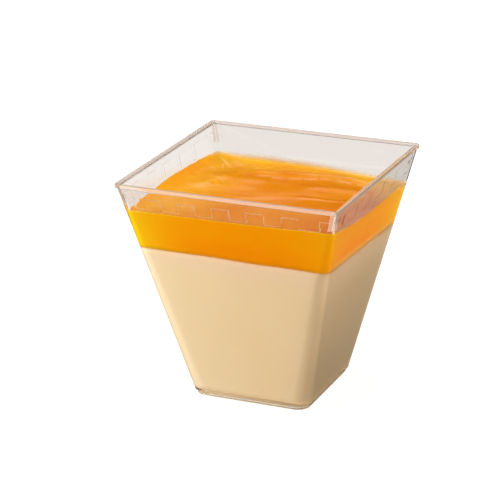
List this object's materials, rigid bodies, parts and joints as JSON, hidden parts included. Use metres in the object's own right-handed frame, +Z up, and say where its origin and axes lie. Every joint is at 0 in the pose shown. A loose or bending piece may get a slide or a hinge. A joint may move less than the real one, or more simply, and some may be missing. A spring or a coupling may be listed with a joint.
{
  "type": "panna cotta dessert cup",
  "caption": "Square tapered clear plastic cup of set cream under a glossy orange fruit sauce, open at the top, standing on its base.",
  "frame": {"origin": "centre of the cup's square base, on the surface it stands on", "axes": "+Z up out of the cup's mouth; the walls are parallel to X and Y; -Y is the front wall"},
  "size_m": [0.066, 0.066, 0.0661],
  "materials": {
    "clear_plastic": "clear, glossy",
    "set_cream": "smooth, satin, slightly translucent",
    "fruit_sauce": "wet, glossy"
  },
  "bodies": {
    "root": {"cup": "clear_plastic", "panna_cotta": "set_cream", "mango_sauce": "fruit_sauce"}
  },
  "joints": []
}
